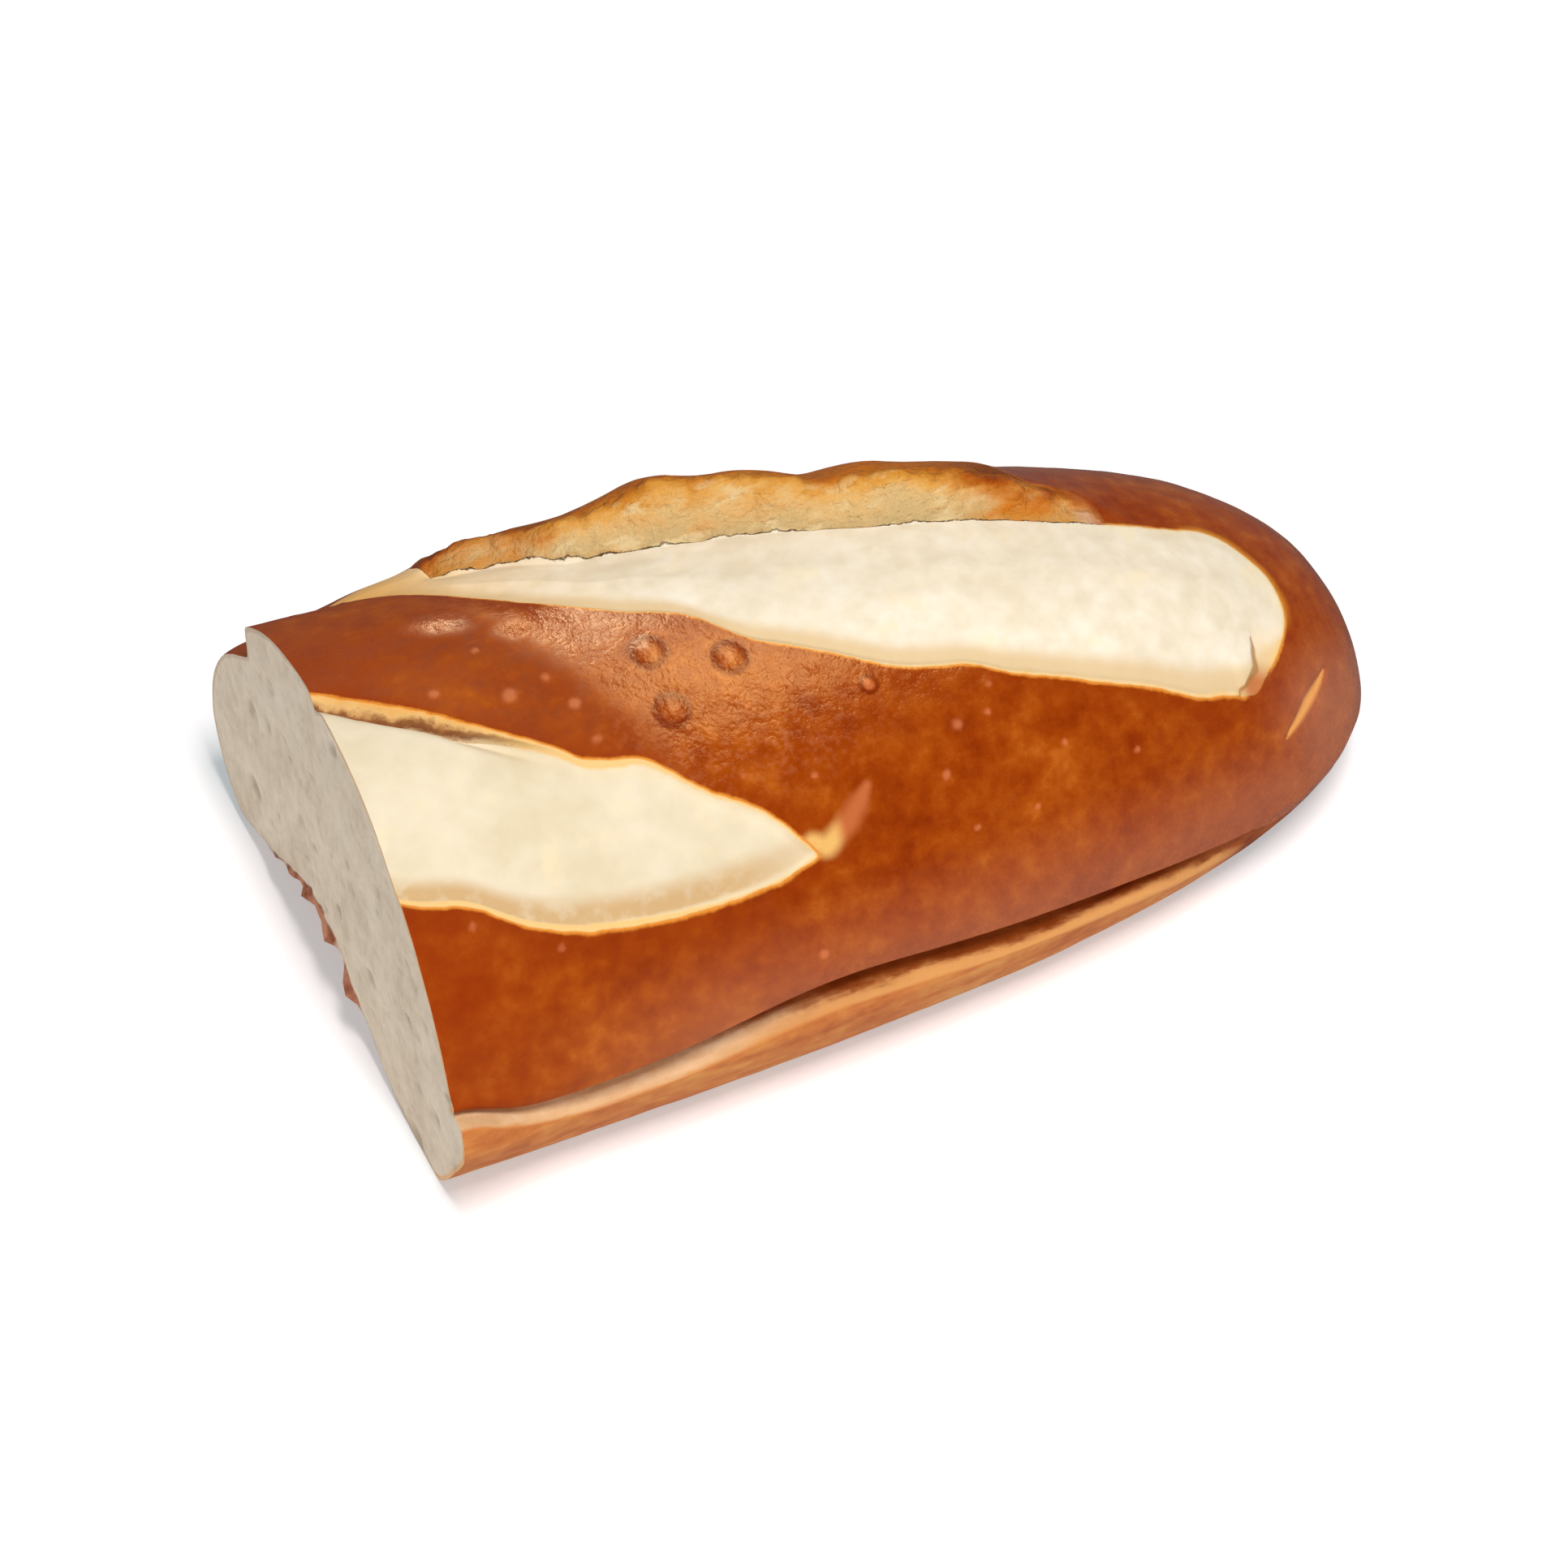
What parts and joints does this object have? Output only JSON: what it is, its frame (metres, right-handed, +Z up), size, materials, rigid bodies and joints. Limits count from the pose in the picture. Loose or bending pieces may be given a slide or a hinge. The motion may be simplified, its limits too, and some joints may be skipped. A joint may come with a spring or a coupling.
{
  "type": "halved pretzel stick roll",
  "caption": "Half of a long lye-crust pretzel roll, cut straight across: rounded end, leaf-shaped score with a torn ear, short score at the cut and a side crease.",
  "frame": {"origin": "centre of the bounding box in plan, on the surface the roll rests on", "axes": "+X from the cut face to the round end, +Z up, -Y towards the side with the crease"},
  "size_m": [0.127, 0.0776, 0.0505],
  "materials": {
    "lye_crust": "glossy chestnut-brown lye crust with pale torn scores, an orange-tan foot and a matt cream-grey crumb on the cut face"
  },
  "bodies": {
    "root": {"pretzel_roll": "lye_crust"}
  },
  "joints": []
}
